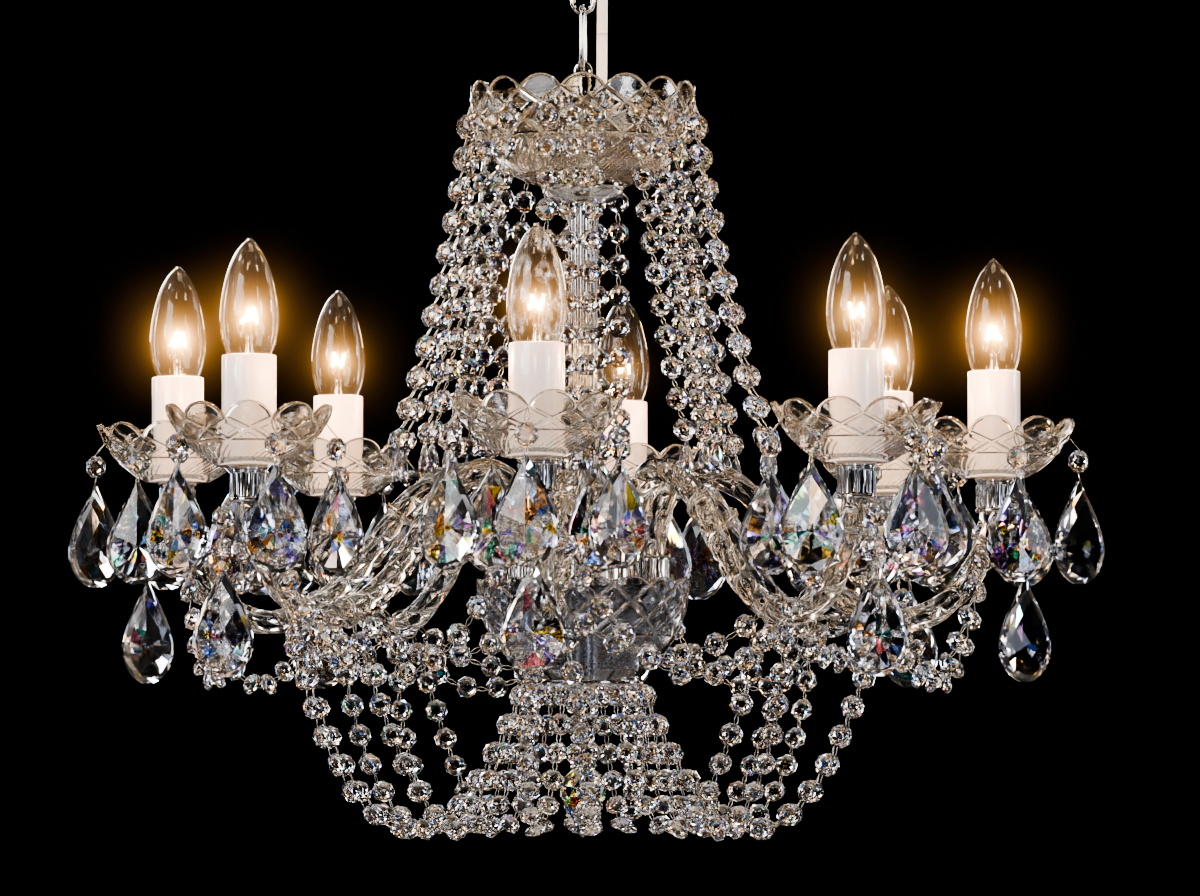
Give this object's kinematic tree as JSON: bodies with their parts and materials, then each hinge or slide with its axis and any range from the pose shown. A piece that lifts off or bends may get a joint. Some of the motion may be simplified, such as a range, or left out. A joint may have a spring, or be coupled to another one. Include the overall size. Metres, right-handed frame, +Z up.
{
  "type": "crystal chandelier",
  "caption": "Hanging crystal chandelier with curved glass arms, candle lamps on glass drip dishes, strung octagon crystals and pear drops, on a short chain.",
  "frame": {"origin": "middle of the ceiling face, on the stem's axis, where the bracket meets the ceiling", "axes": "+Z up along the stem, -Y towards the front arm, +X to the right"},
  "size_m": [0.616, 0.616, 0.603],
  "materials": {
    "crystal": "gloss",
    "bulb_glass": "gloss",
    "sleeve_plastic": "satin",
    "holder_plastic": "matte",
    "cable_plastic": "satin",
    "bracket_steel": "satin",
    "chrome_metal": "polished"
  },
  "bodies": {
    "ceiling_fitting": {"ceiling_bracket": "bracket_steel", "ceiling_canopy": "chrome_metal", "canopy_hook": "chrome_metal", "cable_gland": "cable_plastic", "power_cable": "cable_plastic"},
    "upper_link": {"chain_link_upper": "chrome_metal"},
    "lower_link": {"chain_link_lower": "chrome_metal"},
    "chandelier": {"arm_end_cups": "chrome_metal", "arm_plate": "chrome_metal", "arm_root_cups": "chrome_metal", "bobeche_1": "crystal", "bobeche_2": "crystal", "bobeche_3": "crystal", "bobeche_4": "crystal", "bobeche_5": "crystal", "bobeche_6": "crystal", "bobeche_7": "crystal", "bobeche_8": "crystal", "bobeche_drops": "crystal", "bottom_nut": "chrome_metal", "candle_sleeves": "sleeve_plastic", "dish_seat": "chrome_metal", "garlands": "crystal", "glass_arm_1": "crystal", "glass_arm_2": "crystal", "glass_arm_3": "crystal", "glass_arm_4": "crystal", "glass_arm_5": "crystal", "glass_arm_6": "crystal", "glass_arm_7": "crystal", "glass_arm_8": "crystal", "lamp_holders": "holder_plastic", "lower_bowl": "crystal", "lower_strands": "crystal", "stem_cap": "chrome_metal", "stem_eye": "chrome_metal", "stem_tube": "chrome_metal", "strand_clips": "chrome_metal", "strand_pears": "crystal", "strand_ring": "chrome_metal", "top_dish": "crystal", "upper_strands": "crystal"},
    "bulb_body_1": {"bulb_1": "bulb_glass"},
    "bulb_body_2": {"bulb_2": "bulb_glass"},
    "bulb_body_3": {"bulb_3": "bulb_glass"},
    "bulb_body_4": {"bulb_4": "bulb_glass"},
    "bulb_body_5": {"bulb_5": "bulb_glass"},
    "bulb_body_6": {"bulb_6": "bulb_glass"},
    "bulb_body_7": {"bulb_7": "bulb_glass"},
    "bulb_body_8": {"bulb_8": "bulb_glass"},
    "low_drop_body_1": {"low_drop_1": "crystal"},
    "low_drop_body_2": {"low_drop_2": "crystal"},
    "low_drop_body_3": {"low_drop_3": "crystal"},
    "low_drop_body_4": {"low_drop_4": "crystal"},
    "low_drop_body_5": {"low_drop_5": "crystal"},
    "low_drop_body_6": {"low_drop_6": "crystal"},
    "low_drop_body_7": {"low_drop_7": "crystal"},
    "low_drop_body_8": {"low_drop_8": "crystal"},
    "centre_drop_body": {"centre_drop": "crystal"}
  },
  "joints": [
    {"name": "upper_link_swing", "type": "hinge", "parent": "ceiling_fitting", "child": "upper_link", "pos_m": [0, 0, -0.062], "axis": [0, 1, 0], "range_deg": [-12, 12], "deforming": ["power_cable"]},
    {"name": "lower_link_swing", "type": "hinge", "parent": "upper_link", "child": "lower_link", "pos_m": [0, 0, -0.09695], "axis": [1, 0, 0], "range_deg": [-12, 12], "deforming": ["power_cable"]},
    {"name": "chandelier_swing", "type": "hinge", "parent": "lower_link", "child": "chandelier", "pos_m": [0, 0, -0.1319], "axis": [0, 1, 0], "range_deg": [-12, 12], "deforming": ["power_cable"]},
    {"name": "bulb_1_turn", "type": "hinge", "parent": "chandelier", "child": "bulb_body_1", "pos_m": [0, -0.251, -0.35], "axis": [0, 0, 1], "continuous": true},
    {"name": "bulb_2_turn", "type": "hinge", "parent": "chandelier", "child": "bulb_body_2", "pos_m": [0.17748, -0.17748, -0.35], "axis": [0, 0, 1], "continuous": true},
    {"name": "bulb_3_turn", "type": "hinge", "parent": "chandelier", "child": "bulb_body_3", "pos_m": [0.251, 0, -0.35], "axis": [0, 0, 1], "continuous": true},
    {"name": "bulb_4_turn", "type": "hinge", "parent": "chandelier", "child": "bulb_body_4", "pos_m": [0.17748, 0.17748, -0.35], "axis": [0, 0, 1], "continuous": true},
    {"name": "bulb_5_turn", "type": "hinge", "parent": "chandelier", "child": "bulb_body_5", "pos_m": [0, 0.251, -0.35], "axis": [0, 0, 1], "continuous": true},
    {"name": "bulb_6_turn", "type": "hinge", "parent": "chandelier", "child": "bulb_body_6", "pos_m": [-0.17748, 0.17748, -0.35], "axis": [0, 0, 1], "continuous": true},
    {"name": "bulb_7_turn", "type": "hinge", "parent": "chandelier", "child": "bulb_body_7", "pos_m": [-0.251, 0, -0.35], "axis": [0, 0, 1], "continuous": true},
    {"name": "bulb_8_turn", "type": "hinge", "parent": "chandelier", "child": "bulb_body_8", "pos_m": [-0.17748, -0.17748, -0.35], "axis": [0, 0, 1], "continuous": true},
    {"name": "low_drop_1_swing", "type": "hinge", "parent": "chandelier", "child": "low_drop_body_1", "pos_m": [0, -0.269, -0.441], "axis": [1, 0, 0], "range_deg": [-15, 15]},
    {"name": "low_drop_2_swing", "type": "hinge", "parent": "chandelier", "child": "low_drop_body_2", "pos_m": [0.19021, -0.19021, -0.441], "axis": [0.7071, 0.7071, 0], "range_deg": [-15, 15]},
    {"name": "low_drop_3_swing", "type": "hinge", "parent": "chandelier", "child": "low_drop_body_3", "pos_m": [0.269, 0, -0.441], "axis": [0, 1, 0], "range_deg": [-15, 15]},
    {"name": "low_drop_4_swing", "type": "hinge", "parent": "chandelier", "child": "low_drop_body_4", "pos_m": [0.19021, 0.19021, -0.441], "axis": [-0.7071, 0.7071, 0], "range_deg": [-15, 15]},
    {"name": "low_drop_5_swing", "type": "hinge", "parent": "chandelier", "child": "low_drop_body_5", "pos_m": [0, 0.269, -0.441], "axis": [-1, 0, 0], "range_deg": [-15, 15]},
    {"name": "low_drop_6_swing", "type": "hinge", "parent": "chandelier", "child": "low_drop_body_6", "pos_m": [-0.19021, 0.19021, -0.441], "axis": [-0.7071, -0.7071, 0], "range_deg": [-15, 15]},
    {"name": "low_drop_7_swing", "type": "hinge", "parent": "chandelier", "child": "low_drop_body_7", "pos_m": [-0.269, 0, -0.441], "axis": [0, -1, 0], "range_deg": [-15, 15]},
    {"name": "low_drop_8_swing", "type": "hinge", "parent": "chandelier", "child": "low_drop_body_8", "pos_m": [-0.19021, -0.19021, -0.441], "axis": [0.7071, -0.7071, 0], "range_deg": [-15, 15]},
    {"name": "centre_drop_swing", "type": "hinge", "parent": "chandelier", "child": "centre_drop_body", "pos_m": [0, 0, -0.5577], "axis": [0, 1, 0], "range_deg": [-12, 12]}
  ]
}
